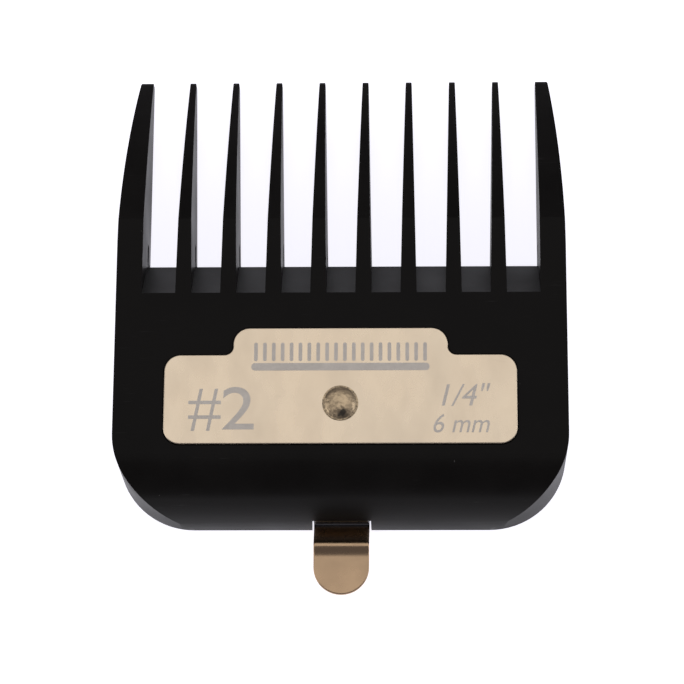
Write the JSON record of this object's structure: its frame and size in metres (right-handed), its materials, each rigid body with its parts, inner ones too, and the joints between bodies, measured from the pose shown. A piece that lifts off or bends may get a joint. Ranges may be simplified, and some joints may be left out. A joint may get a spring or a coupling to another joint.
{
  "type": "clipper guard comb",
  "caption": "Moulded clipper guard comb with long curved teeth, a riveted metal size plate and a sprung metal clip with a thumb tab that catches the blade.",
  "frame": {"origin": "bottom centre of the whole comb, lying on its rim with the size plate up", "axes": "+X to the right across the teeth, +Y towards the tooth tips, +Z out of the front face"},
  "size_m": [0.0494, 0.0604, 0.0102],
  "materials": {
    "moulded_plastic": "black moulded plastic, satin, with a very fine eroded texture",
    "plate_metal": "champagne coloured plate, smooth satin, pale etched size marks",
    "rivet_metal": "plated steel, set with a slightly pitted dome",
    "spring_metal": "spring steel strip, rolled and plated a warm beige, satin"
  },
  "bodies": {
    "comb": {"comb_body": "moulded_plastic", "name_plate": "plate_metal", "rivet": "rivet_metal", "clip_foot": "spring_metal"},
    "clip": {"clip_arm": "spring_metal"}
  },
  "joints": [
    {"name": "clip_flex", "type": "hinge", "parent": "comb", "child": "clip", "pos_m": [0, -0.01607, 0.00775], "axis": [-1, 0, 0], "range_deg": [0, 4], "stiffness_Nm_per_rad": 0.6}
  ]
}
